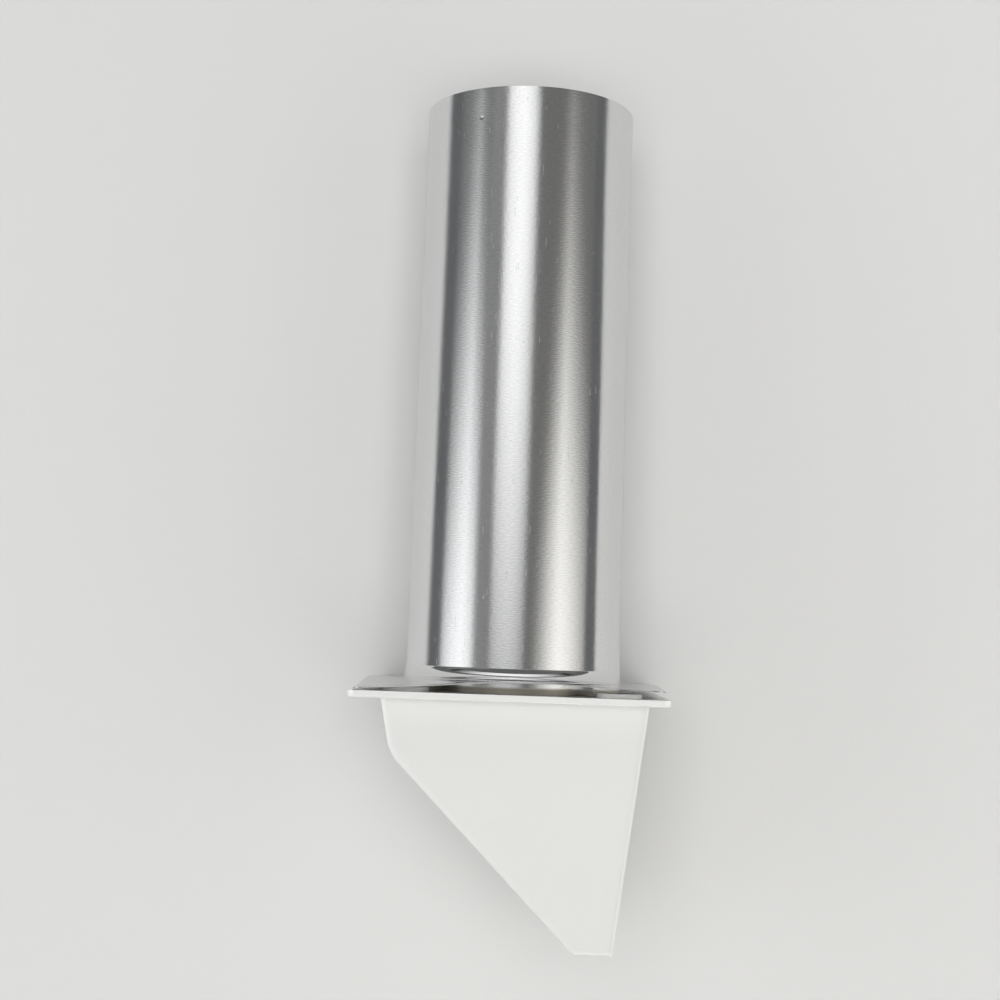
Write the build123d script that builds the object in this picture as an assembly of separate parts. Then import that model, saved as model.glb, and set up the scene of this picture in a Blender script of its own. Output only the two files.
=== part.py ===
from build123d import *
import os
from math import radians, sqrt, tan

# Through-the-wall exhaust vent hood: a moulded hood on a square flange, a thin aluminium plate
# and a long tail pipe, with a hinged damper flap and a hinged bird guard inside the hood.
#
# Frame: the part lies on its side. +Y runs along the tail pipe, into the wall. +X is the hood's
# open mouth, which points down once the hood is on a wall. +Z is across the hood. The origin is
# on the pipe's axis, in the outer face of the plate, which rests on the wall.

# Square flange of the hood and the thin sheet that stands off behind it
FLANGE_SIDE = 145.0
FLANGE_THICKNESS = 3.0
FLANGE_CORNER_RADIUS = 5.0
FLANGE_EDGE_RADIUS = 0.8
PLATE_SIDE = 141.0
PLATE_THICKNESS = 0.5
PLATE_STAND_OFF = 5.5
PLATE_CORNER_RADIUS = 4.0
SCREW_SPACING = 131.0
SCREW_HOLE_RADIUS = 2.3

# Tail pipe: a 4 inch rolled tube that tapers slightly towards its far end
PIPE_LENGTH = 279.4
PIPE_ROOT_RADIUS = 51.9
PIPE_TAIL_RADIUS = 50.8
PIPE_TAIL_LENGTH = 40.0
PIPE_WALL = 0.5
WEB_HOLE_ROOM = 0.3
FLARE_RADIUS = 54.6
COLLAR_HEIGHT = 6.0
COLLAR_FILLET = 5.0
PIPE_STRAIGHT_TO = 8.0
GASKET_RADII = (52.4, 54.6)
GASKET_THICKNESS = 0.8

# Hood: a drafted box with a steep upper wall, a 45 degree roof and a narrow front lip
HOOD_WALL = 2.2
HOOD_HALF_WIDTH = 63.0
HOOD_DRAFT_DEG = 2.5
HOOD_PROJECTION = 115.0
ROOF_ROOT_X = -58.9
KNEE_X = -53.6
KNEE_PROJECTION = 28.2
LIP_TOP_X = 32.0
LIP_MOUTH_X = 49.8
MOUTH_ROOT_X = 63.6
KNEE_RADIUS = 22.0
LIP_RADIUS = 4.0
SIDE_RADIUS = 3.5
RIM_WIDTH = 1.4
RIM_PROUD = 0.6

# Damper: a seat frame screwed to the hood's web, a soft seat ring and a flap on a wire hinge
SEAT_FRAME_THICKNESS = 3.2
SEAT_FRAME_X = (-54.4, 57.0)
SEAT_FRAME_HALF_WIDTH = 58.0
SEAT_FRAME_CORNER = 4.0
FLARE_ROOM = 0.3
SEAT_HOLE_RADIUS = 50.9
SEAT_SCREW_X = (-47.5, 50.0)
SEAT_SCREW_Z = 51.0
SEAT_SCREW_RADIUS = 1.4
SEAT_SCREW_LENGTH = 7.0
SEAT_SCREW_CLEARANCE = 0.2
PILOT_END_ROOM = 0.2
SCREW_PAD_RADIUS = 10.5
SCREW_PAD_HEIGHT = 2.0
SCREW_HEAD_RADIUS = 3.0
SCREW_HEAD_HEIGHT = 1.8
SCREW_HEAD_ROUND = 1.0
CROSS_REACH = 1.8
CROSS_HALF = 0.3
CROSS_DEPTH = 0.7
SEAT_RING_RADII = (51.5, 54.0)
SEAT_RING_THICKNESS = 0.8
FLAP_GAP = 0.1
FLAP_RADIUS = 54.0
FLAP_THICKNESS = 2.0
FLAP_TOP_X = -50.0
FLAP_RIB_HEIGHT = 1.5
FLAP_RIB_WIDTH = 1.6
FLAP_RING_RADIUS = 40.0
FLAP_RIB_Z = 22.5
FLAP_ROOT_LENGTH = 7.0
HINGE_X = -51.5
HINGE_SEAT_GAP = 0.3
HINGE_BARREL_RADIUS = 2.3
HINGE_BARREL_HALF = 30.5
HINGE_EAR = (31.0, 34.0)
HINGE_EAR_PROUD = 0.3
HINGE_ROD_RADIUS = 1.2
HINGE_ROD_HALF = 36.5
HINGE_ROD_CHAMFER = 0.3
ROD_CLIP_RADIUS = 2.6
ROD_CLIP = (34.3, 35.3)
RUNNING_GAP = 0.05
EAR_GAP = 0.03
PRESS_GAP = 0.02

# Bird guard: a flat grid across the mouth, hinged at the front lip
GUARD_HINGE_FROM_LIP = 6.0
GUARD_HINGE_INSET = 3.2
GUARD_LENGTH = 100.6
GUARD_HALF_WIDTH = 53.2
GUARD_THICKNESS = 2.4
GUARD_BORDER = 4.5
GUARD_BAR = 2.2
GUARD_LONG_BARS = 7
GUARD_CROSS_BARS = 5
BAR_INSET = 0.5
GUARD_BARREL_RADIUS = 2.2
GUARD_PIN_RADIUS = 1.5
GUARD_PIN_LENGTH = 1.6
GUARD_EAR_RADIUS = 3.0
GUARD_EAR_GAP = 0.6
GUARD_EAR_LENGTH = 3.2
GUARD_SOCKET_DEPTH = 2.0
CATCH_Z = 30.0
CATCH_WIDTH = 8.0
CATCH_X = (58.4, 61.7)
CATCH_HEIGHT = 4.1
TAB_OFFSET = 2.2
TAB_THICKNESS = 1.5
TAB_RANGE = (96.0, 104.6)

# Stations along the pipe's axis that follow from the sizes above
FLANGE_BACK_Y = -PLATE_STAND_OFF
WEB_Y = FLANGE_BACK_Y - FLANGE_THICKNESS
GASKET_Y = WEB_Y - GASKET_THICKNESS
FLARE_Y = GASKET_Y - PIPE_WALL
SEAT_Y = WEB_Y - SEAT_FRAME_THICKNESS
SEAT_RING_Y = SEAT_Y - SEAT_RING_THICKNESS
FLAP_BACK_Y = SEAT_RING_Y - FLAP_GAP
FLAP_FRONT_Y = FLAP_BACK_Y - FLAP_THICKNESS
HINGE_Y = SEAT_RING_Y - HINGE_SEAT_GAP - HINGE_BARREL_RADIUS
LIP_Y = FLANGE_BACK_Y - HOOD_PROJECTION
WEB_HOLE_RADIUS = PIPE_ROOT_RADIUS + WEB_HOLE_ROOM


def disc(radius, y_from, y_to, x=0.0, z=0.0):
    """A cylinder along Y between two stations."""
    place = Pos(x, (y_from + y_to) / 2, z) * Rot(90, 0, 0)
    return place * Cylinder(radius, abs(y_to - y_from))


def rod(radius, z_from, z_to, x, y):
    """A cylinder along Z between two heights."""
    return Pos(x, y, (z_from + z_to) / 2) * Cylinder(radius, abs(z_to - z_from))


def block(x_range, y_range, z_range):
    """A box between given limits."""
    sizes = [abs(high - low) for low, high in (x_range, y_range, z_range)]
    middles = [(high + low) / 2 for low, high in (x_range, y_range, z_range)]
    return Pos(*middles) * Box(*sizes)


def square_slab(side, y_from, y_to, corner_radius):
    """A square plate across Y with rounded corners."""
    outline = Plane.XZ * RectangleRounded(side, side, corner_radius)
    slab = extrude(outline, amount=abs(y_to - y_from), dir=(0, -1, 0))
    return Pos(0, max(y_from, y_to), 0) * slab


def prism(corners, half_height):
    """A polygon in the XY plane, made solid to both sides of it."""
    return extrude(make_face(Polyline(*corners, close=True)), amount=half_height, both=True)


def revolved(section):
    """Turns a closed outline of (radius, y) points about the pipe's axis."""
    return revolve(make_face(Polyline(*section, close=True)), Axis.Y)


def screw_places():
    """Centres of the four wall screws."""
    half = SCREW_SPACING / 2
    return [(x, z) for x in (-half, half) for z in (-half, half)]


def shift_sides(corners, shifts):
    """Moves each side of a polygon towards its inside (anticlockwise corners), by its own distance."""
    count = len(corners)
    lines = []
    for index in range(count):
        start = Vector(*corners[index])
        direction = (Vector(*corners[(index + 1) % count]) - start).normalized()
        inward = Vector(-direction.Y, direction.X)
        lines.append((start + inward * shifts[index], direction))
    moved = []
    for index in range(count):
        point, along = lines[index - 1]
        other, across = lines[index]
        gap = other - point
        reach = (gap.X * across.Y - gap.Y * across.X) / (along.X * across.Y - along.Y * across.X)
        meeting = point + along * reach
        moved.append((meeting.X, meeting.Y))
    return moved


# Hood side profile, anticlockwise: steep wall, roof, front lip, mouth, flange
HOOD_PROFILE = [
    (ROOF_ROOT_X, FLANGE_BACK_Y),
    (KNEE_X, FLANGE_BACK_Y - KNEE_PROJECTION),
    (LIP_TOP_X, LIP_Y),
    (LIP_MOUTH_X, LIP_Y),
    (MOUTH_ROOT_X, FLANGE_BACK_Y),
]
MOUTH_RUN = sqrt((MOUTH_ROOT_X - LIP_MOUTH_X) ** 2 + HOOD_PROJECTION**2)
MOUTH_ALONG = Vector((MOUTH_ROOT_X - LIP_MOUTH_X) / MOUTH_RUN, HOOD_PROJECTION / MOUTH_RUN, 0)
MOUTH_OUT = Vector(MOUTH_ALONG.Y, -MOUTH_ALONG.X, 0)
GUARD_HINGE = (
    Vector(LIP_MOUTH_X, LIP_Y, 0)
    + MOUTH_ALONG * GUARD_HINGE_FROM_LIP
    - MOUTH_OUT * GUARD_HINGE_INSET
)
GUARD_PLANE = Plane(origin=GUARD_HINGE, x_dir=MOUTH_ALONG, z_dir=MOUTH_OUT)


def rounded_edge(form, index, radius):
    """Rounds one of the form's edges along Z, counted from the roof side."""
    edge = form.edges().filter_by(Axis.Z).sort_by(Axis.X)[index]
    return fillet(edge, radius)


def side_edges(form, profile):
    """The edges where the two drafted sides meet the steep wall, the roof and the front lip."""
    mouth_corner = Vector(*profile[3])
    found = []
    for edge in form.edges():
        if edge.geom_type == GeomType.LINE and abs((edge % 0.5).Z) > 0.9:
            continue
        middle = edge @ 0.5
        behind_mouth = (middle - mouth_corner).dot(MOUTH_OUT) < -0.5
        off_the_back = middle.Y < profile[0][1] - 0.5
        if abs(middle.Z) > 10.0 and behind_mouth and off_the_back:
            found.append(edge)
    return found


def hood_form(profile, half_width, grow):
    """The hood's closed form: its profile between two drafted sides, with rounded edges."""
    lean = tan(radians(HOOD_DRAFT_DEG))
    stations = (FLANGE_BACK_Y + 10.0, LIP_Y - 10.0)
    widths = [half_width + (y - FLANGE_BACK_Y) * lean for y in stations]
    near = (stations[0], widths[0])
    far = (stations[1], widths[1])
    outline = Polyline(near, far, (far[0], -far[1]), (near[0], -near[1]), close=True)
    drafted = extrude(Plane.YZ * make_face(outline), amount=FLANGE_SIDE, both=True)
    form = prism(profile, FLANGE_SIDE) & drafted
    form = rounded_edge(form, 2, LIP_RADIUS + grow)
    form = rounded_edge(form, 1, KNEE_RADIUS + grow)
    return fillet(side_edges(form, profile), SIDE_RADIUS + grow)


def mouth_rim():
    """A raised bead round the open mouth, to be joined to the hood's outside."""
    grown = shift_sides(HOOD_PROFILE, [-RIM_PROUD, -RIM_PROUD, -RIM_PROUD, 0.0, 0.0])
    lip = Vector(LIP_MOUTH_X, LIP_Y) - MOUTH_ALONG * 5.0
    root = Vector(MOUTH_ROOT_X, FLANGE_BACK_Y)
    band = [lip, root, root - MOUTH_OUT * RIM_WIDTH, lip - MOUTH_OUT * RIM_WIDTH]
    slab = prism([(point.X, point.Y) for point in band], FLANGE_SIDE)
    return hood_form(grown, HOOD_HALF_WIDTH + RIM_PROUD, RIM_PROUD) & slab


def guard_ears():
    """Round bosses on the side walls that take the guard's hinge pins."""
    inner = GUARD_HALF_WIDTH + GUARD_EAR_GAP
    ears = []
    for side in (-1, 1):
        x, y = GUARD_HINGE.X, GUARD_HINGE.Y
        boss = rod(GUARD_EAR_RADIUS, side * inner, side * (inner + GUARD_EAR_LENGTH), x, y)
        socket = rod(GUARD_PIN_RADIUS + RUNNING_GAP, 0, side * (inner + GUARD_SOCKET_DEPTH), x, y)
        ears.append(boss - socket)
    return ears


def seat_screw_places():
    """Centres of the four screws that hold the damper's seat frame."""
    return [(x, z) for x in SEAT_SCREW_X for z in (-SEAT_SCREW_Z, SEAT_SCREW_Z)]


def build_hood_shell():
    """Hood moulding: flange and web, hollow hood, mouth rim, guard ears and catches."""
    inner_profile = shift_sides(
        HOOD_PROFILE, [HOOD_WALL, HOOD_WALL, HOOD_WALL, -20.0, FLANGE_THICKNESS]
    )
    cavity = hood_form(inner_profile, HOOD_HALF_WIDTH - HOOD_WALL, -HOOD_WALL)
    hood = hood_form(HOOD_PROFILE, HOOD_HALF_WIDTH, 0.0) + mouth_rim() - cavity
    flange = square_slab(FLANGE_SIDE, FLANGE_BACK_Y, WEB_Y, FLANGE_CORNER_RADIUS)
    flange = fillet(flange.faces().sort_by(Axis.Y)[0].edges(), FLANGE_EDGE_RADIUS)
    shell = flange + hood
    for ear in guard_ears():
        shell += ear
    for z in (-CATCH_Z, CATCH_Z):
        z_range = (z - CATCH_WIDTH / 2, z + CATCH_WIDTH / 2)
        shell += block(CATCH_X, (WEB_Y - CATCH_HEIGHT, WEB_Y + 1.0), z_range)
    for x, z in screw_places():
        shell -= disc(SCREW_HOLE_RADIUS, FLANGE_BACK_Y + 1.0, WEB_Y - 1.0, x, z)
    for x, z in seat_screw_places():
        shell += disc(SCREW_PAD_RADIUS, FLANGE_BACK_Y + SCREW_PAD_HEIGHT, FLANGE_BACK_Y, x, z)
    shell -= disc(WEB_HOLE_RADIUS, FLANGE_BACK_Y + SCREW_PAD_HEIGHT + 1.0, WEB_Y - 1.0)
    pilot_end = SEAT_Y + SEAT_SCREW_LENGTH + PILOT_END_ROOM
    for x, z in seat_screw_places():
        shell -= disc(SEAT_SCREW_RADIUS + PRESS_GAP, pilot_end, WEB_Y - 1.0, x, z)
    return shell


def build_wall_plate():
    """Thin aluminium sheet with a drawn collar that grips the pipe."""
    bore = PIPE_ROOT_RADIUS
    outside = bore + PLATE_THICKNESS
    plate = square_slab(PLATE_SIDE, 0.0, -PLATE_THICKNESS, PLATE_CORNER_RADIUS)
    plate += disc(outside, -PLATE_THICKNESS, COLLAR_HEIGHT)
    plate -= disc(bore, -PLATE_STAND_OFF, COLLAR_HEIGHT + 1.0)
    root = [
        edge
        for edge in plate.edges().filter_by(GeomType.CIRCLE)
        if abs(edge.radius - outside) < 1e-3 and abs((edge @ 0).Y) < 1e-3
    ]
    plate = fillet(root, COLLAR_FILLET)
    for x, z in screw_places():
        plate -= disc(SCREW_HOLE_RADIUS, 1.0, -PLATE_STAND_OFF, x, z)
    return plate


def build_tail_pipe():
    """Rolled tube with a flare behind the seat frame and a straight, slightly smaller far end."""
    straight_to = PIPE_STRAIGHT_TO
    tail_from = PIPE_LENGTH - PIPE_TAIL_LENGTH
    return revolved(
        [
            (PIPE_ROOT_RADIUS - PIPE_WALL, FLARE_Y),
            (FLARE_RADIUS, FLARE_Y),
            (FLARE_RADIUS, GASKET_Y),
            (PIPE_ROOT_RADIUS, GASKET_Y),
            (PIPE_ROOT_RADIUS, straight_to),
            (PIPE_TAIL_RADIUS, tail_from),
            (PIPE_TAIL_RADIUS, PIPE_LENGTH),
            (PIPE_TAIL_RADIUS - PIPE_WALL, PIPE_LENGTH),
            (PIPE_TAIL_RADIUS - PIPE_WALL, tail_from),
            (PIPE_ROOT_RADIUS - PIPE_WALL, straight_to),
        ]
    )


def build_pipe_gasket():
    """Thin rubber ring between the pipe's flare and the hood's web."""
    inner, outer = GASKET_RADII
    return disc(outer, WEB_Y, GASKET_Y) - disc(inner, WEB_Y + 1.0, GASKET_Y - 1.0)


def build_seat_frame():
    """Plate that clamps the pipe's flare to the web and carries the damper's hinge ears."""
    z_range = (-SEAT_FRAME_HALF_WIDTH, SEAT_FRAME_HALF_WIDTH)
    frame = block(SEAT_FRAME_X, (WEB_Y, SEAT_Y), z_range)
    frame = fillet(frame.edges().filter_by(Axis.Y), SEAT_FRAME_CORNER)
    frame -= disc(SEAT_HOLE_RADIUS, WEB_Y + 1.0, SEAT_Y - 1.0)
    frame -= disc(FLARE_RADIUS + FLARE_ROOM, WEB_Y + 1.0, FLARE_Y)
    ear_radius = HINGE_BARREL_RADIUS + HINGE_EAR_PROUD
    for side in (-1, 1):
        low, high = side * HINGE_EAR[0], side * HINGE_EAR[1]
        ear = rod(ear_radius, low, high, HINGE_X, HINGE_Y)
        x_range = (HINGE_X - ear_radius, HINGE_X + ear_radius)
        ear += block(x_range, (HINGE_Y, SEAT_Y + 1.0), (low, high))
        frame += ear - rod(HINGE_ROD_RADIUS + EAR_GAP, low - side, high + side, HINGE_X, HINGE_Y)
    for x, z in seat_screw_places():
        frame -= disc(SEAT_SCREW_RADIUS + SEAT_SCREW_CLEARANCE, WEB_Y + 1.0, SEAT_Y - 1.0, x, z)
    return frame


def build_seat_ring():
    """Soft ring on the seat frame that the closed flap meets."""
    inner, outer = SEAT_RING_RADII
    ring = disc(outer, SEAT_Y, SEAT_RING_Y) - disc(inner, SEAT_Y + 1.0, SEAT_RING_Y - 1.0)
    return ring


def build_seat_screws():
    """Four pan-head screws that hold the seat frame to the web."""
    screws = []
    for x, z in seat_screw_places():
        head = disc(SCREW_HEAD_RADIUS, SEAT_Y, SEAT_Y - SCREW_HEAD_HEIGHT, x, z)
        head = fillet(head.faces().sort_by(Axis.Y)[0].edges(), SCREW_HEAD_ROUND)
        shank = disc(SEAT_SCREW_RADIUS, SEAT_Y + SEAT_SCREW_LENGTH, SEAT_Y, x, z)
        depths = (SEAT_Y - SCREW_HEAD_HEIGHT + CROSS_DEPTH, SEAT_Y - SCREW_HEAD_HEIGHT - 1.0)
        slots = block((x - CROSS_REACH, x + CROSS_REACH), depths, (z - CROSS_HALF, z + CROSS_HALF))
        slots += block((x - CROSS_HALF, x + CROSS_HALF), depths, (z - CROSS_REACH, z + CROSS_REACH))
        screws.append(head + shank - slots)
    return Compound(children=screws)


def build_damper_flap():
    """Round flap with stiffening ribs and a hinge barrel along its upper edge."""
    plate = disc(FLAP_RADIUS, FLAP_BACK_Y, FLAP_FRONT_Y)
    top_trim = block((-FLAP_RADIUS - 1, FLAP_TOP_X), (0, LIP_Y), (-FLAP_RADIUS, FLAP_RADIUS))
    plate -= top_trim
    half = HINGE_BARREL_HALF
    root_range = (FLAP_TOP_X, FLAP_TOP_X + FLAP_ROOT_LENGTH)
    plate += block(root_range, (FLAP_BACK_Y, FLAP_FRONT_Y), (-half, half))
    rib_front = FLAP_FRONT_Y - FLAP_RIB_HEIGHT
    ring = disc(FLAP_RING_RADIUS, FLAP_FRONT_Y, rib_front)
    ring -= disc(FLAP_RING_RADIUS - FLAP_RIB_WIDTH, FLAP_FRONT_Y + 1.0, rib_front - 1.0)
    flap = plate + ring
    for z in (-FLAP_RIB_Z, 0.0, FLAP_RIB_Z):
        reach = sqrt((FLAP_RING_RADIUS - FLAP_RIB_WIDTH / 2) ** 2 - z**2)
        z_range = (z - FLAP_RIB_WIDTH / 2, z + FLAP_RIB_WIDTH / 2)
        flap += block((FLAP_TOP_X, reach), (FLAP_FRONT_Y + 0.2, rib_front), z_range)
    flap += rod(HINGE_BARREL_RADIUS, -half, half, HINGE_X, HINGE_Y)
    return flap - rod(HINGE_ROD_RADIUS + RUNNING_GAP, -half - 1, half + 1, HINGE_X, HINGE_Y)


def build_hinge_rod():
    """Straight wire that the flap swings on."""
    wire = rod(HINGE_ROD_RADIUS, -HINGE_ROD_HALF, HINGE_ROD_HALF, HINGE_X, HINGE_Y)
    return chamfer(wire.edges().filter_by(GeomType.CIRCLE), HINGE_ROD_CHAMFER)


def build_rod_clips():
    """Two push-on washers that keep the wire in its ears."""
    clips = []
    for side in (-1, 1):
        low, high = side * ROD_CLIP[0], side * ROD_CLIP[1]
        washer = rod(ROD_CLIP_RADIUS, low, high, HINGE_X, HINGE_Y)
        bore = rod(HINGE_ROD_RADIUS + PRESS_GAP, low - side, high + side, HINGE_X, HINGE_Y)
        clips.append(washer - bore)
    return Compound(children=clips)


def guard_block(along, z_range, out):
    """A box in the guard's own plane: along it from the hinge, across it, and out of it."""
    size = Box(along[1] - along[0], z_range[1] - z_range[0], out[1] - out[0])
    centre = [(low + high) / 2 for low, high in (along, z_range, out)]
    return Pos(*centre) * size


def guard_outline(border):
    """The guard's tapered outline, drawn in by the border on all sides."""
    lean = tan(radians(HOOD_DRAFT_DEG))
    near, far = border, GUARD_LENGTH - border
    near_half = GUARD_HALF_WIDTH + near * lean - border
    far_half = GUARD_HALF_WIDTH + far * lean - border
    corners = [(near, -near_half), (far, -far_half), (far, far_half), (near, near_half)]
    return make_face(Polyline(*corners, close=True))


def build_bird_guard():
    """Open grid with a hinge barrel, two hinge pins and two finger tabs at its free edge."""
    half = GUARD_THICKNESS / 2
    window = extrude(guard_outline(GUARD_BORDER), amount=GUARD_THICKNESS, both=True)
    guard = extrude(guard_outline(0.0), amount=half, both=True) - window
    wide = GUARD_HALF_WIDTH - GUARD_BORDER
    pitch = 2 * wide / (GUARD_LONG_BARS + 1)
    inside = extrude(guard_outline(2 * BAR_INSET), amount=half, both=True)
    bars = []
    whole_length = (BAR_INSET, GUARD_LENGTH - BAR_INSET)
    for index in range(GUARD_LONG_BARS):
        z = -wide + pitch * (index + 1)
        z_range = (z - GUARD_BAR / 2, z + GUARD_BAR / 2)
        bars.append(guard_block(whole_length, z_range, (-half, half)))
    clear = GUARD_LENGTH - 2 * GUARD_BORDER
    step = clear / (GUARD_CROSS_BARS + 1)
    for index in range(GUARD_CROSS_BARS):
        along = GUARD_BORDER + step * (index + 1)
        along_range = (along - GUARD_BAR / 2, along + GUARD_BAR / 2)
        cross = guard_block(along_range, (-FLANGE_SIDE, FLANGE_SIDE), (-half, half))
        bars.append(cross & inside)
    for bar in bars:
        guard += bar
    for z in (-CATCH_Z, CATCH_Z):
        z_range = (z - CATCH_WIDTH / 2, z + CATCH_WIDTH / 2)
        top = TAB_OFFSET + TAB_THICKNESS
        guard += guard_block((TAB_RANGE[0], GUARD_LENGTH), z_range, (0.0, top))
        guard += guard_block(TAB_RANGE, z_range, (TAB_OFFSET, top))
    guard = GUARD_PLANE * guard
    hinge = (GUARD_HINGE.X, GUARD_HINGE.Y)
    guard += rod(GUARD_BARREL_RADIUS, -GUARD_HALF_WIDTH, GUARD_HALF_WIDTH, *hinge)
    pin_reach = GUARD_HALF_WIDTH + GUARD_EAR_GAP + GUARD_PIN_LENGTH
    return guard + rod(GUARD_PIN_RADIUS, -pin_reach, pin_reach, *hinge)


PARTS = {
    "hood_shell": build_hood_shell,
    "wall_plate": build_wall_plate,
    "tail_pipe": build_tail_pipe,
    "pipe_gasket": build_pipe_gasket,
    "damper_seat_frame": build_seat_frame,
    "damper_seat_ring": build_seat_ring,
    "seat_frame_screws": build_seat_screws,
    "damper_flap": build_damper_flap,
    "damper_hinge_rod": build_hinge_rod,
    "hinge_rod_clips": build_rod_clips,
    "bird_guard": build_bird_guard,
}

os.makedirs("parts", exist_ok=True)
for name, build in PARTS.items():
    export_step(build(), f"parts/{name}.step")
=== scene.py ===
from math import cos, hypot, pi, radians, sin, sqrt, tan

import bmesh
import bpy
from mathutils import Matrix, Vector


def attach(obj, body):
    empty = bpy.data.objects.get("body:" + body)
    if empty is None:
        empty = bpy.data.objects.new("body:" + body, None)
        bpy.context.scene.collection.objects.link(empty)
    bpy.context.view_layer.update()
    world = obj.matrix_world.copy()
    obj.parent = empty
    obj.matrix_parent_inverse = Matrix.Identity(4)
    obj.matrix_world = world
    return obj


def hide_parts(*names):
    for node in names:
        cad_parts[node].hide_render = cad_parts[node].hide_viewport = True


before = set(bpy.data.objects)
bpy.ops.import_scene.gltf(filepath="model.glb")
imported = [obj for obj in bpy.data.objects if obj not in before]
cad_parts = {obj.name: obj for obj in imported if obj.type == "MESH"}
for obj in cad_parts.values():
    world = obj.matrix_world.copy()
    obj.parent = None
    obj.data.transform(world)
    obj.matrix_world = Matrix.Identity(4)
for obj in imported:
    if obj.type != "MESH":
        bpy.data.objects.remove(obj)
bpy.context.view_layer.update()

MM = 0.001

# Where the board lies under the part: turns about X, Y and Z, then a shift (mm).
BOARD_TURN = (-4.76, -1.66, -1.84)
BOARD_SHIFT = (5.95, -87.52, 73.85)
CAMERA_HEIGHT = 919.4
LENS = 62.57
SENSOR = 36.0

# Tail pipe (mm)
PIPE_ROOT_RADIUS = 51.9
PIPE_TAIL_RADIUS = 50.8
PIPE_WALL = 0.5
RIM_BREAK = 0.06
PIPE_END = 279.3999
TAIL_FROM = 239.4
STRAIGHT_TO = 8.0
FLARE_RADIUS = 54.6
FLARE_Y = -9.8
SEAM_ANGLE = 76.0
SEAM_HALF = 0.45
SEAM_DEPTH = 0.22
DENT_ANGLE = -26.4
DENT_Y = 265.0
DENT_RADIUS = 1.0
DENT_DEPTH = 0.3

# Wall plate (mm)
PLATE_HALF = 70.5
PLATE_CORNER = 4.0
PLATE_THICKNESS = 0.5
COLLAR_HEIGHT = 6.0
SIDE_BEND = 2.0
TOP_BEND = 8.4
TOP_SLOPE = 17.0
SCREW_AT = 65.5
SCREW_HOLE_RADIUS = 2.3
# Heights of the plate's upper edge above its flat place, along X
BOW = [(-70.5, -4.3), (-53.0, -3.2), (-35.0, -2.1), (-14.0, -0.35), (-4.5, 0.12), (8.0, 0.45),
       (18.0, 0.5), (30.5, 0.0), (41.5, -0.6), (51.0, -0.85), (70.5, -1.6)]
LOWER_BOW = 0.9
BOW_FROM = -20.0
BOW_FULL = 68.0
LIP_BREAK = 0.12
LIP_SHOULDER = 0.1
EDGE_BREAK = 0.08

# Floor: the part rests on the flange's lower edge and on the pipe's far end
FLOOR_POINT = (0.0, -5.5, -72.5)
FLOOR_TILT = 4.36
FLOOR_REACH = 5.0
# The smaller board that only reflections show (m)
MIRRORED_X = (-0.47, 0.75)
MIRRORED_Y = (-1.0, 1.3)
MIRRORED_LIFT = 0.0001

# Painted shade on the pipe in the gap between the flange and the plate: a darker, browner, duller band (m)
GAP_SHADE_FROM = -0.0030
GAP_SHADE_TO = -0.0012
GAP_SHADE_WAVER = 0.0012
GAP_SHADE_SHARE = 0.85
GAP_SHADE_ROUGHENS = 0.35
GAP_SHADE_TONE = (0.60, 0.55, 0.45)

# Sockets of a colour mix node
MIX_FIRST = 6
MIX_SECOND = 7
MIX_RESULT = 2


def turn(axis, angle):
    return Matrix.Rotation(radians(angle), 3, axis)


BOARD = turn("Z", BOARD_TURN[2]) @ turn("Y", BOARD_TURN[1]) @ turn("X", BOARD_TURN[0])


def from_board(x, y, z):
    """A point given on the board, in mm, as a point of the part's frame, in metres."""
    return (BOARD.transposed() @ (Vector((x, y, z)) - Vector(BOARD_SHIFT))) * MM


# ---------------------------------------------------------------- materials

def new_material(name, rough, metallic=0.0):
    material = bpy.data.materials.new(name)
    material.use_nodes = True
    tree = material.node_tree
    shader = tree.nodes["Principled BSDF"]
    shader.inputs["Roughness"].default_value = rough
    shader.inputs["Metallic"].default_value = metallic
    return material, tree, shader


def node(tree, kind, **values):
    made = tree.nodes.new(kind)
    for name, value in values.items():
        if name in made.inputs:
            made.inputs[name].default_value = value
        else:
            setattr(made, name, value)
    return made


def noise(tree, vector, scale, detail=2.0, stretch=(1.0, 1.0, 1.0)):
    """Noise with its own stretch, read in metres."""
    mapping = node(tree, "ShaderNodeMapping")
    mapping.inputs["Scale"].default_value = stretch
    tree.links.new(vector, mapping.inputs["Vector"])
    made = node(tree, "ShaderNodeTexNoise", Scale=scale, Detail=detail)
    tree.links.new(mapping.outputs["Vector"], made.inputs["Vector"])
    return made.outputs["Fac"]


def spread(tree, source, low, high):
    """Noise, mostly from 0.3 to 0.7, spread over the range from low to high."""
    made = node(tree, "ShaderNodeMapRange")
    made.inputs["From Min"].default_value = 0.3
    made.inputs["From Max"].default_value = 0.7
    made.inputs["To Min"].default_value = low
    made.inputs["To Max"].default_value = high
    tree.links.new(source, made.inputs["Value"])
    return made.outputs["Result"]


def math_node(tree, operation, first, second):
    """A sum of sockets or numbers in the node tree."""
    made = node(tree, "ShaderNodeMath", operation=operation)
    for value, socket in zip((first, second), made.inputs):
        if isinstance(value, (int, float)):
            socket.default_value = value
        else:
            tree.links.new(value, socket)
    return made.outputs[0]


def smooth_ramp(tree, value, start, end, low, high):
    ramp = node(tree, "ShaderNodeMapRange", interpolation_type="SMOOTHSTEP")
    for name, number in (("From Min", start), ("From Max", end), ("To Min", low), ("To Max", high)):
        ramp.inputs[name].default_value = number
    tree.links.new(value, ramp.inputs["Value"])
    return ramp.outputs["Result"]


def mixed(tree, factor, first, second):
    made = node(tree, "ShaderNodeMix", data_type="RGBA")
    made.inputs[MIX_FIRST].default_value = (*first, 1.0)
    made.inputs[MIX_SECOND].default_value = (*second, 1.0)
    tree.links.new(factor, made.inputs["Factor"])
    return made.outputs[MIX_RESULT]


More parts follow.
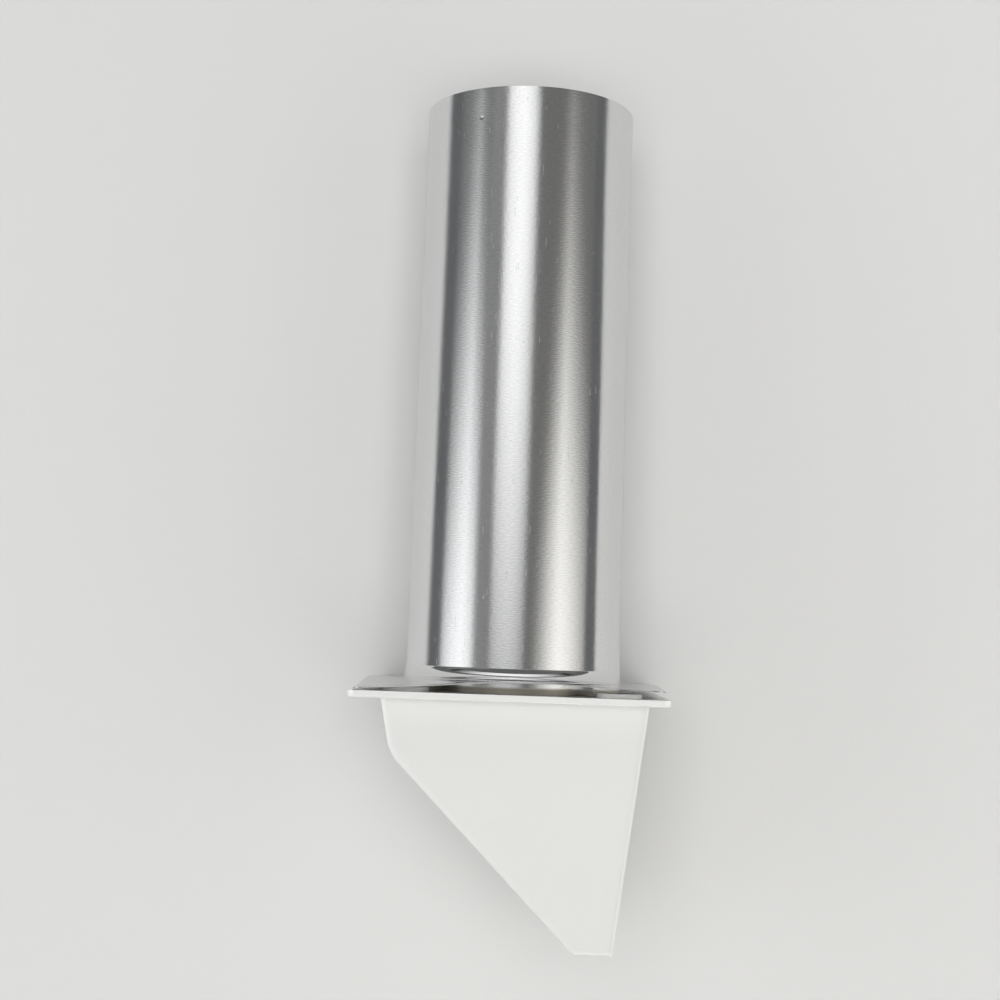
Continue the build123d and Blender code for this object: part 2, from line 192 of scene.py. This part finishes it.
def bumped(tree, shader, height, distance, strength=1.0, normal=None):
    made = node(tree, "ShaderNodeBump", Strength=strength, Distance=distance)
    tree.links.new(height, made.inputs["Height"])
    if normal is not None:
        tree.links.new(normal, made.inputs["Normal"])
    tree.links.new(made.outputs["Normal"], shader.inputs["Normal"])
    return made.outputs["Normal"]


def plastic(name, light, dark, rough, grain):
    """Moulded plastic: faint cloudy tone, fine texture and a slightly uneven gloss."""
    material, tree, shader = new_material(name, rough)
    place = node(tree, "ShaderNodeTexCoord").outputs["Object"]
    clouds = noise(tree, place, 14.0, 3.0)
    tone = mixed(tree, spread(tree, clouds, 0.0, 1.0), light, dark)
    tree.links.new(tone, shader.inputs["Base Color"])
    gloss = noise(tree, place, 60.0, 2.0)
    tree.links.new(spread(tree, gloss, rough - 0.02, rough + 0.02), shader.inputs["Roughness"])
    fine = noise(tree, place, grain, 2.0)
    bumped(tree, shader, fine, 0.00002, 0.5)
    return material


def sheet_metal(name, tone_low, tone_high, rough_low, rough_high, streak_depth, painted_gap_shade=False):
    """Rolled aluminium: short fine streaks across the roll, faint clouds and small scratches.
    Painted shade can darken, brown and dull the part that is close to the flange, in the gap before the
    plate."""
    material, tree, shader = new_material(name, rough_low, 1.0)
    place = node(tree, "ShaderNodeUVMap", uv_map="UVMap").outputs["UV"]
    grain = noise(tree, place, 1.0, 4.0, (420.0, 2100.0, 1.0))
    speckle = noise(tree, place, 1.0, 2.0, (1500.0, 2600.0, 1.0))
    clouds = noise(tree, place, 1.0, 3.0, (22.0, 16.0, 1.0))
    marks = noise(tree, place, 1.0, 1.0, (2400.0, 90.0, 1.0))
    tone = mixed(tree, spread(tree, grain, 0.0, 1.0), tone_low, tone_high)
    rough = spread(tree, math_node(tree, "ADD", clouds, math_node(tree, "MULTIPLY", grain, 0.3)),
                   rough_low, rough_high)
    # Painted shade of the gap: the band next to the flange is mixed towards a darker brown tone and made
    # rougher
    if painted_gap_shade:
        along = node(tree, "ShaderNodeSeparateXYZ")
        tree.links.new(place, along.inputs["Vector"])
        height = math_node(tree, "ADD", along.outputs["Y"],
                           math_node(tree, "MULTIPLY", clouds, GAP_SHADE_WAVER))
        share = smooth_ramp(tree, height, GAP_SHADE_FROM, GAP_SHADE_TO, GAP_SHADE_SHARE, 0.0)
        gap_shaded = node(tree, "ShaderNodeMix", data_type="RGBA")
        tree.links.new(share, gap_shaded.inputs["Factor"])
        tree.links.new(tone, gap_shaded.inputs[MIX_FIRST])
        gap_shaded.inputs[MIX_SECOND].default_value = (*GAP_SHADE_TONE, 1.0)
        tone = gap_shaded.outputs[MIX_RESULT]
        rough = math_node(tree, "ADD", rough, math_node(tree, "MULTIPLY", share, GAP_SHADE_ROUGHENS))
    tree.links.new(tone, shader.inputs["Base Color"])
    tree.links.new(rough, shader.inputs["Roughness"])
    first = bumped(tree, shader, grain, streak_depth, 1.0)
    second = bumped(tree, shader, speckle, streak_depth * 0.4, 1.0, first)
    scratches = smooth_ramp(tree, marks, 0.74, 0.8, 0.0, 1.0)
    third = bumped(tree, shader, scratches, 0.00002, 1.0, second)
    ripple = noise(tree, place, 1.0, 1.0, (9.0, 5.0, 1.0))
    bumped(tree, shader, ripple, 0.00025, 1.0, third)
    return material


def drawn_wire(name):
    """Zinc-plated steel with fine drawing lines."""
    material, tree, shader = new_material(name, 0.3, 1.0)
    place = node(tree, "ShaderNodeTexCoord").outputs["Object"]
    lines = noise(tree, place, 1.0, 3.0, (2500.0, 2500.0, 150.0))
    tree.links.new(mixed(tree, spread(tree, lines, 0, 1), (0.50, 0.50, 0.51), (0.68, 0.68, 0.67)),
                   shader.inputs["Base Color"])
    tree.links.new(spread(tree, lines, 0.29, 0.38), shader.inputs["Roughness"])
    bumped(tree, shader, lines, 0.00002, 0.6)
    return material


def rubber(name):
    """Dark soft rubber with a fine cellular surface."""
    material, tree, shader = new_material(name, 0.8)
    place = node(tree, "ShaderNodeTexCoord").outputs["Object"]
    cells = noise(tree, place, 1800.0, 2.0)
    tree.links.new(mixed(tree, spread(tree, cells, 0, 1), (0.035, 0.035, 0.037), (0.07, 0.07, 0.07)),
                   shader.inputs["Base Color"])
    bumped(tree, shader, cells, 0.0002, 0.7)
    return material


def floor_material(name, light, dark):
    material, tree, shader = new_material(name, 0.55)
    place = node(tree, "ShaderNodeTexCoord").outputs["Object"]
    clouds = noise(tree, place, 1.6, 2.0)
    tone = mixed(tree, spread(tree, clouds, 0.0, 1.0), dark, light)
    tree.links.new(tone, shader.inputs["Base Color"])
    fine = noise(tree, place, 900.0, 2.0)
    bumped(tree, shader, fine, 0.00004, 0.3)
    return material


# Roughness that varies across about 0.27 leaves hard-edged patches in a denoised render
HOOD_PLASTIC = plastic("hood_moulding", (0.80, 0.805, 0.79), (0.793, 0.798, 0.783), 0.31, 1500.0)
FLAP_PLASTIC = plastic("flap_moulding", (0.74, 0.74, 0.72), (0.69, 0.69, 0.67), 0.48, 1200.0)
GUARD_PLASTIC = plastic("guard_moulding", (0.77, 0.775, 0.76), (0.73, 0.735, 0.72), 0.4, 1300.0)
# The pipe carries the painted shade of the gap next to the flange
PIPE_METAL = sheet_metal("pipe_aluminium", (0.80, 0.805, 0.81), (0.92, 0.92, 0.92), 0.09, 0.14,
                         0.00004, painted_gap_shade=True)
PLATE_METAL = sheet_metal("plate_aluminium", (0.82, 0.82, 0.82), (0.89, 0.89, 0.885), 0.03, 0.06,
                          0.000003)
WIRE = drawn_wire("plated_wire")
RUBBER = rubber("soft_rubber")

CAD_LOOKS = {
    "hood_shell": HOOD_PLASTIC,
    "damper_seat_frame": FLAP_PLASTIC,
    "damper_flap": FLAP_PLASTIC,
    "bird_guard": GUARD_PLASTIC,
    "seat_frame_screws": WIRE,
    "damper_hinge_rod": WIRE,
    "hinge_rod_clips": WIRE,
    "pipe_gasket": RUBBER,
    "damper_seat_ring": RUBBER,
}
for name, material in CAD_LOOKS.items():
    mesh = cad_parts[name].data
    mesh.materials.clear()
    mesh.materials.append(material)


# ---------------------------------------------------------------- meshes

def smoothstep(low, high, value):
    share = min(1.0, max(0.0, (value - low) / (high - low)))
    return share * share * (3.0 - 2.0 * share)


def make_piece(name, points, faces, uvs, material, sharp=35.0):
    """A mesh piece in metres from points in mm. uvs gives a (u, v) for each point."""
    mesh = bpy.data.meshes.new(name)
    mesh.from_pydata([Vector(p) * MM for p in points], [], faces)
    layer = mesh.uv_layers.new(name="UVMap")
    for loop in mesh.loops:
        u, v = uvs[loop.vertex_index]
        layer.data[loop.index].uv = (u * MM, v * MM)
    mesh.materials.append(material)
    mesh.shade_smooth()
    mesh.set_sharp_from_angle(angle=radians(sharp))
    obj = bpy.data.objects.new(name, mesh)
    bpy.context.scene.collection.objects.link(obj)
    return obj


def ring_faces(rows, columns, closed_rows):
    """Quads of a grid that closes on itself round the columns, and round the rows if asked."""
    faces = []
    for i in range(rows if closed_rows else rows - 1):
        after = (i + 1) % rows
        for j in range(columns):
            side = (j + 1) % columns
            faces.append((i * columns + j, i * columns + side, after * columns + side, after * columns + j))
    return faces


def pipe_section():
    """Closed outline of the pipe's wall as (radius, y): outside, far rim, inside, flare."""
    outline = [(FLARE_RADIUS, FLARE_Y + PIPE_WALL), (PIPE_ROOT_RADIUS + 0.6, FLARE_Y + PIPE_WALL)]
    outline += [(PIPE_ROOT_RADIUS + 0.18, FLARE_Y + PIPE_WALL + 0.18),
                (PIPE_ROOT_RADIUS, FLARE_Y + PIPE_WALL + 0.6)]
    outline += [(PIPE_ROOT_RADIUS, y) for y in (-5.5, 0.0, 4.0, STRAIGHT_TO)]
    steps = 60
    for i in range(1, steps + 1):
        share = i / steps
        radius = PIPE_ROOT_RADIUS + (PIPE_TAIL_RADIUS - PIPE_ROOT_RADIUS) * share
        outline.append((radius, STRAIGHT_TO + (TAIL_FROM - STRAIGHT_TO) * share))
    end = PIPE_END - RIM_BREAK
    stations = [TAIL_FROM + 2.5 * i for i in range(1, 10)]
    stations += [DENT_Y + 0.35 * i for i in range(-5, 6)]
    stations += [DENT_Y + step for step in (3.5, 6.0, 8.5, 11.0, 13.0)] + [end]
    outline += [(PIPE_TAIL_RADIUS, y) for y in stations]
    outline += [(PIPE_TAIL_RADIUS - RIM_BREAK, PIPE_END),
                (PIPE_TAIL_RADIUS - PIPE_WALL + RIM_BREAK, PIPE_END)]
    inner = [(radius - PIPE_WALL, y) for radius, y in reversed(outline[4:-2])]
    outline += inner
    bore = PIPE_ROOT_RADIUS - PIPE_WALL
    outline += [(bore, FLARE_Y + 0.8), (bore + 0.2, FLARE_Y + 0.2), (bore + 0.8, FLARE_Y),
                (FLARE_RADIUS, FLARE_Y)]
    return outline


def pipe_angles():
    """Angles round the pipe from +Z towards +X, closer together at the seam."""
    even = [float(a) for a in range(-180, 180, 2)]
    near = [SEAM_ANGLE + d for d in (-1.1, -0.75, -0.5, -0.25, 0.0, 0.25, 0.5, 0.75, 1.1)]
    dent = [DENT_ANGLE + d for d in (-1.5, -1.0, -0.5, 0.0, 0.5, 1.0, 1.5)]
    kept = [a for a in even if all(abs(a - b) > 0.35 for b in near + dent)]
    return sorted(kept + near + dent)


def pipe_offset(angle, y):
    """How far the rolled wall strays from a true round: broad waves, the seam and a small dent."""
    along = smoothstep(10.0, 60.0, y) * (1.0 - smoothstep(262.0, 279.0, y))
    turned = radians(angle)
    wave = 0.05 * cos(2 * turned + 0.6 + y / 90.0) + 0.028 * cos(5 * turned + y / 60.0)
    wave += 0.012 * cos(11 * turned - y / 35.0)
    offset = wave * along - 0.09 * along
    arc = (angle - SEAM_ANGLE) * radians(1) * PIPE_ROOT_RADIUS
    offset -= SEAM_DEPTH * (1.0 - smoothstep(0.0, SEAM_HALF, abs(arc))) * smoothstep(6.0, 9.0, y)
    away = hypot((angle - DENT_ANGLE) * radians(1) * PIPE_TAIL_RADIUS, y - DENT_Y)
    return offset - DENT_DEPTH * (1.0 - smoothstep(0.0, DENT_RADIUS, away))


def build_pipe():
    """The rolled pipe, its section carried round the angles."""
    outline, angles = pipe_section(), pipe_angles()
    points, uvs = [], []
    for radius, y in outline:
        for angle in angles:
            moved = radius + pipe_offset(angle, y)
            points.append((moved * sin(radians(angle)), y, moved * cos(radians(angle))))
            uvs.append((radians(angle) * PIPE_ROOT_RADIUS, y))
    faces = ring_faces(len(outline), len(angles), True)
    return make_piece("tail_pipe_rolled", points, faces, uvs, PIPE_METAL)


def plate_edge(angle):
    """Distance from the centre to the plate's rounded square edge."""
    s, c = abs(sin(angle)), abs(cos(angle))
    reach = PLATE_HALF / max(s, c)
    centre = PLATE_HALF - PLATE_CORNER
    if min(s, c) * reach > centre:
        along = centre * (s + c)
        reach = along + sqrt(along * along - 2 * centre * centre + PLATE_CORNER**2)
    return reach


def edge_bow(x):
    """Height of the plate's upper edge at x, on a smooth line through the points of BOW."""
    last = len(BOW) - 1
    x = min(BOW[last][0], max(BOW[0][0], x))
    k = max(i for i in range(last) if BOW[i][0] <= x)
    (x0, y0), (x1, y1) = BOW[k], BOW[k + 1]
    before = BOW[k - 1] if k else BOW[k]
    after = BOW[k + 2] if k + 2 <= last else BOW[k + 1]
    slope0 = (y1 - before[1]) / (x1 - before[0])
    slope1 = (after[1] - y0) / (after[0] - x0)
    width = x1 - x0
    t = (x - x0) / width
    return ((2 * t**3 - 3 * t**2 + 1) * y0 + (t**3 - 2 * t**2 + t) * width * slope0
            + (3 * t**2 - 2 * t**3) * y1 + (t**3 - t**2) * width * slope1)


def plate_bow(x, z):
    """How far the thin sheet is bent out of flat at a point."""
    free = smoothstep(PIPE_ROOT_RADIUS + 5.0, PLATE_HALF + 4.0, hypot(x, z))
    upper = smoothstep(BOW_FROM, BOW_FULL, z)
    lower = smoothstep(BOW_FROM, BOW_FULL, -z)
    return free * (edge_bow(x) * upper - LOWER_BOW * lower) if free else 0.0


def collar_bend(angle):
    """The collar's slope at its lip and the radius of its root, both larger at the top, where
    the sheet is pulled up."""
    pulled = smoothstep(0.1, 0.8, cos(angle))
    slope = radians(TOP_SLOPE) * pulled
    return slope, SIDE_BEND + (TOP_BEND - SIDE_BEND) * pulled


def collar_point(angle, share, depth):
    """A point (radius, y) on the collar's curve, from its lip's slope to the flat sheet, at some
    depth below its outside."""
    slope, bend = collar_bend(angle)
    lip = PIPE_ROOT_RADIUS + PLATE_THICKNESS
    straight = COLLAR_HEIGHT - bend * (1.0 - sin(slope))
    centre = lip + straight * tan(slope) + bend * cos(slope)
    turned = slope + (pi / 2 - slope) * share
    curve = bend + depth
    return centre - curve * cos(turned), bend - curve * sin(turned)


def build_plate():
    """The bowed sheet with its collar: rows run from the lip down and out, then back underneath."""
    columns = 288
    radius = PIPE_ROOT_RADIUS
    outer = radius + PLATE_THICKNESS
    steps = 16
    turns = [i / steps for i in range(steps + 1)]
    shares = [0.08, 0.18, 0.3, 0.42, 0.54, 0.66, 0.78, 0.89, 0.97]
    rows = [("lip", outer, COLLAR_HEIGHT - LIP_SHOULDER)]
    rows += [("curve", share, 0.0) for share in turns]
    rows += [("sheet", share, 0.0) for share in shares] + [("sheet", 1.0, -EDGE_BREAK)]
    rows += [("sheet", 1.0, -PLATE_THICKNESS + EDGE_BREAK)]
    rows += [("sheet", share, -PLATE_THICKNESS) for share in reversed(shares)]
    rows += [("curve", share, PLATE_THICKNESS) for share in reversed(turns)]
    rows += [("lip", radius, COLLAR_HEIGHT - LIP_SHOULDER)]
    rows += [("lip", radius + LIP_BREAK, COLLAR_HEIGHT), ("lip", outer - LIP_BREAK, COLLAR_HEIGHT)]
    points, uvs = [], []
    for kind, value, level in rows:
        for j in range(columns):
            angle = 2 * pi * j / columns
            if kind == "lip":
                reach, y = value, level
            elif kind == "curve":
                reach, y = collar_point(angle, value, level)
            else:
                root = collar_point(angle, 1.0, 0.0)[0]
                reach, y = root + (plate_edge(angle) - root) * value, level
            x, z = reach * sin(angle), reach * cos(angle)
            points.append((x, y + plate_bow(x, z), z))
            uvs.append((x, z + 3.0 * y))
    faces = ring_faces(len(rows), columns, True)
    plate = make_piece("wall_plate_sheet", points, faces, uvs, PLATE_METAL)
    cut_screw_holes(plate)
    return plate


def cut_screw_holes(plate):
    """Punches the four corner holes."""
    form = bmesh.new()
    for x in (-SCREW_AT, SCREW_AT):
        for z in (-SCREW_AT, SCREW_AT):
            place = Matrix.Translation(Vector((x, -2.0, z)) * MM) @ Matrix.Rotation(pi / 2, 4, "X")
            bmesh.ops.create_cone(form, cap_ends=True, segments=40, radius1=SCREW_HOLE_RADIUS * MM,
                                  radius2=SCREW_HOLE_RADIUS * MM, depth=12 * MM, matrix=place)
    mesh = bpy.data.meshes.new("punches")
    form.to_mesh(mesh)
    form.free()
    punches = bpy.data.objects.new("punches", mesh)
    bpy.context.scene.collection.objects.link(punches)
    modifier = plate.modifiers.new("holes", "BOOLEAN")
    modifier.operation = "DIFFERENCE"
    modifier.solver = "EXACT"
    modifier.object = punches
    bpy.context.view_layer.update()
    cut = bpy.data.meshes.new_from_object(plate.evaluated_get(bpy.context.evaluated_depsgraph_get()))
    plate.modifiers.clear()
    plate.data = cut
    bpy.data.objects.remove(punches)


PIPE = build_pipe()
PLATE = build_plate()
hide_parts("tail_pipe")
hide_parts("wall_plate")
for piece in (PIPE, PLATE):
    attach(piece, "housing")


# ---------------------------------------------------------------- floor, lights and camera

def quad(name, corners, material, uvs=((0, 0), (1, 0), (1, 1), (0, 1))):
    mesh = bpy.data.meshes.new(name)
    mesh.from_pydata(corners, [], [(0, 1, 2, 3)])
    layer = mesh.uv_layers.new(name="UVMap")
    for loop, uv in zip(mesh.loops, uvs):
        layer.data[loop.index].uv = uv
    mesh.materials.append(material)
    obj = bpy.data.objects.new(name, mesh)
    bpy.context.scene.collection.objects.link(obj)
    return obj


def glow_tree(name, colour):
    """An empty light material: its tree, and the panel's own u and v in metres."""
    material = bpy.data.materials.new(name)
    material.use_nodes = True
    tree = material.node_tree
    tree.nodes.clear()
    uv = node(tree, "ShaderNodeUVMap", uv_map="UVMap")
    split = node(tree, "ShaderNodeSeparateXYZ")
    tree.links.new(uv.outputs["UV"], split.inputs["Vector"])
    glow = node(tree, "ShaderNodeEmission", Color=(*colour, 1.0))
    out = node(tree, "ShaderNodeOutputMaterial")
    tree.links.new(glow.outputs["Emission"], out.inputs["Surface"])
    return material, tree, split.outputs["X"], split.outputs["Y"], glow.inputs["Strength"]


def sideways(tree, u, centre, below, above):
    """Distance across a panel from its brightest line, in shares of each side's reach."""
    past = math_node(tree, "DIVIDE", math_node(tree, "SUBTRACT", u, centre), above)
    short = math_node(tree, "DIVIDE", math_node(tree, "SUBTRACT", centre, u), below)
    return math_node(tree, "MAXIMUM", past, short)


def hot_spot_light(name, colour, base, peak, centre, below, above, reach, offset):
    """A softbox brightest near the hood, falling off across it and along the pipe."""
    material, tree, u, v, strength = glow_tree(name, colour)
    along = math_node(tree, "DIVIDE", math_node(tree, "MAXIMUM", v, 0.0), reach)
    away = math_node(tree, "ADD", sideways(tree, u, centre, below, above), along)
    away = math_node(tree, "ADD", away, offset)
    tree.links.new(smooth_ramp(tree, away, 0.0, 1.0, peak, base), strength)
    return material


def ceiling_light(name, colour, low, high, start, end, centre, below, above):
    """An overhead panel that brightens away from the camera and dims towards its sides."""
    material, tree, u, v, strength = glow_tree(name, colour)
    along = smooth_ramp(tree, v, start, end, low, high)
    sides = smooth_ramp(tree, sideways(tree, u, centre, below, above), 0.0, 1.0, 1.0, 0.0)
    tree.links.new(math_node(tree, "MULTIPLY", along, sides), strength)
    return material


def even_light(name, colour, value):
    material, tree, u, v, strength = glow_tree(name, colour)
    strength.default_value = value
    return material


PIPE_CENTRE = (10.0, 40.0, 65.0)
PANEL_DISTANCE = 1300.0


def panel(name, middle, angle_from, angle_to, y_from, y_to, material):
    """A flat panel along the pipe, square to one angle from straight up (+ towards +X) and
    spanning two others. Its u runs across it from the middle angle, its v along the board."""
    facing = radians(middle)
    shown = []
    for angle, y in ((angle_from, y_from), (angle_to, y_from), (angle_to, y_to), (angle_from, y_to)):
        u = PANEL_DISTANCE * tan(radians(angle - middle))
        x = PIPE_CENTRE[0] + PANEL_DISTANCE * sin(facing) + u * cos(facing)
        z = PIPE_CENTRE[2] + PANEL_DISTANCE * cos(facing) - u * sin(facing)
        shown.append((from_board(x, y, z), (u * MM, y * MM)))
    made = quad(name, [corner for corner, uv in shown], material, [uv for corner, uv in shown])
    made.visible_camera = False
    made.visible_shadow = False
    return made


NEUTRAL = (1.0, 1.0, 1.0)
ROOM_TONE = (0.125, 0.127, 0.13, 1.0)
FILL_SIZE = 1400.0
FILL_HEIGHT = 2200.0
FILL_GLOW = 7.7
WALL_AT = 3000.0
WALL_HEIGHT = 1500.0
WALL_GLOW = 0.8
FAR_Y = 2100.0
FAR_LOW = 150.0
FAR_HIGH = 900.0
FAR_HALF = 2300.0
FAR_GLOW = 1.05
LEFT_COLOUR = (0.985, 0.995, 1.0)
RIGHT_COLOUR = (1.0, 0.99, 0.955)
NEAR_COLOUR = (1.0, 0.84, 0.66)
panel("left_softbox", -63.0, -82.5, -43.5, -1300.0, 1100.0,
      hot_spot_light("left_light", LEFT_COLOUR, base=0.18, peak=1.16, centre=0.12, below=1.12,
                     above=1.02, reach=1.0, offset=0.0))
panel("left_gap", -36.0, -43.4, -28.5, -1300.0, 1100.0, even_light("left_gap_light", NEUTRAL, 0.24))
panel("right_softbox", 46.0, 12.0, 79.0, -1300.0, 1100.0,
      hot_spot_light("right_light", RIGHT_COLOUR, base=0.16, peak=1.11, centre=0.02, below=0.92,
                     above=1.32, reach=0.9, offset=0.07))
panel("top_softbox", -8.0, -26.0, 9.5, -320.0, 950.0,
      ceiling_light("top_light", NEUTRAL, low=0.32, high=1.15, start=-0.32, end=0.56, centre=0.0,
                    below=1.17, above=0.9))
panel("near_camera", -8.0, -32.0, 24.0, -1500.0, -321.0, even_light("near_light", NEAR_COLOUR, 0.17))


def soft_light(name, corners, glow, mirrored, shown=False):
    """A plain panel given by its corners on the board, in mm, seen by shiny parts and the camera or not."""
    light = even_light(name + "_light", NEUTRAL, glow)
    made = quad(name, [from_board(*corner) for corner in corners], light)
    made.visible_camera = shown
    made.visible_shadow = False
    made.visible_glossy = mirrored


# Soft light from above and from all round, which the shiny parts do not mirror
fill_half = FILL_SIZE / 2
fill_corners = [(x * fill_half, y * fill_half, FILL_HEIGHT)
                for x, y in ((-1, -1), (1, -1), (1, 1), (-1, 1))]
soft_light("fill", fill_corners, FILL_GLOW, mirrored=False)
for name, (x0, y0), (x1, y1) in (("wall_left", (-1, -1), (-1, 1)), ("wall_right", (1, 1), (1, -1)),
                                 ("wall_far", (-1, 1), (1, 1)), ("wall_near", (1, -1), (-1, -1))):
    low = [(x0 * WALL_AT, y0 * WALL_AT, 0.0), (x1 * WALL_AT, y1 * WALL_AT, 0.0)]
    high = [(x, y, WALL_HEIGHT) for x, y, z in reversed(low)]
    soft_light(name, low + high, WALL_GLOW, mirrored=False, shown=True)
# Upright panel beyond the pipe's far end, mirrored by the collar's root and dimmer to its sides
far_corners = [(-FAR_HALF, FAR_LOW), (FAR_HALF, FAR_LOW), (FAR_HALF, FAR_HIGH), (-FAR_HALF, FAR_HIGH)]
far_softbox = quad("far_softbox", [from_board(x, FAR_Y, z) for x, z in far_corners],
                   ceiling_light("far_light", NEUTRAL, FAR_GLOW, FAR_GLOW, 0.0, 1.0, 0.0,
                                 FAR_HALF * MM, FAR_HALF * MM),
                   [(x * MM, z * MM) for x, z in far_corners])
far_softbox.visible_camera = False
far_softbox.visible_shadow = False

world = bpy.data.worlds.new("studio")
bpy.context.scene.world = world
world.use_nodes = True
world.node_tree.nodes["Background"].inputs["Color"].default_value = ROOM_TONE
world.node_tree.nodes["Background"].inputs["Strength"].default_value = 1.0


def floor_quad(name, x_from, x_to, y_from, y_to, lift, material):
    """Part of the floor plane, which runs under the flange's edge and the pipe's far end."""
    tilt = radians(FLOOR_TILT)
    start = Vector(FLOOR_POINT) * MM
    along = Vector((0.0, cos(tilt), sin(tilt)))
    up = Vector((0.0, -sin(tilt), cos(tilt)))
    corners = [start + Vector((x, 0.0, 0.0)) + along * y + up * lift
               for x, y in ((x_from, y_from), (x_to, y_from), (x_to, y_to), (x_from, y_to))]
    return quad(name, corners, material)


floor = floor_quad("floor", -FLOOR_REACH, FLOOR_REACH, -FLOOR_REACH, FLOOR_REACH, 0.0,
                   floor_material("floor_board", (0.765, 0.765, 0.757), (0.75, 0.75, 0.743)))
floor.visible_glossy = False
# Shiny parts see a board that ends near the part, with the dark room beyond it
# The reflected board is painted darker than the floor: painted shade for the board that the pipe mirrors
# beside it
board = floor_quad("board_in_reflections", *MIRRORED_X, *MIRRORED_Y, MIRRORED_LIFT,
                   floor_material("reflected_board", (0.66, 0.66, 0.655), (0.64, 0.64, 0.635)))
board.visible_camera = False
board.visible_diffuse = False
board.visible_shadow = False

camera_data = bpy.data.cameras.new("camera")
camera_data.lens = LENS
camera_data.sensor_width = SENSOR
camera_data.clip_end = 100.0
camera = bpy.data.objects.new("camera", camera_data)
bpy.context.scene.collection.objects.link(camera)
camera.matrix_world = Matrix.Translation(from_board(0.0, 0.0, CAMERA_HEIGHT)) @ BOARD.transposed().to_4x4()
bpy.context.scene.camera = camera
bpy.context.scene.view_settings.view_transform = "Standard"
bpy.context.scene.view_settings.look = "None"

bpy.context.view_layer.update()
